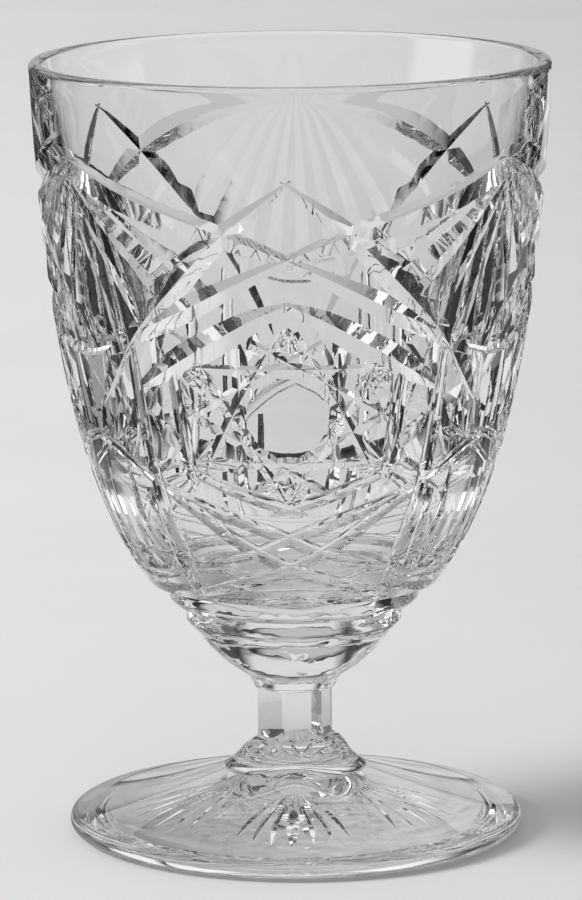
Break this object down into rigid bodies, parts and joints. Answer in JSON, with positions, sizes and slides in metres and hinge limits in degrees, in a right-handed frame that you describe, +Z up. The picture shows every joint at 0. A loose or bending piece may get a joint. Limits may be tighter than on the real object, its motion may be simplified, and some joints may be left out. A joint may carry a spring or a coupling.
{
  "type": "footed tumbler",
  "caption": "Clear pressed-glass drinking tumbler with a deep bowl cut in fans, mitres and buttons, a short faceted stem and a round rayed foot.",
  "frame": {"origin": "centre of the foot's resting ring, on the surface that it stands on", "axes": "+Z up along the axis of the glass, towards the rim; -Y is the front, through the middle of one button panel; +X to the right"},
  "size_m": [0.0884, 0.0884, 0.133],
  "materials": {
    "clear_glass_bowl": "fire-polished clear glass with sharp pressed facets",
    "clear_glass_stem": "fire-polished clear glass",
    "clear_glass_foot": "clear glass, lightly rubbed where it stands"
  },
  "bodies": {
    "root": {"bowl": "clear_glass_bowl", "stem": "clear_glass_stem", "foot": "clear_glass_foot"}
  },
  "joints": []
}
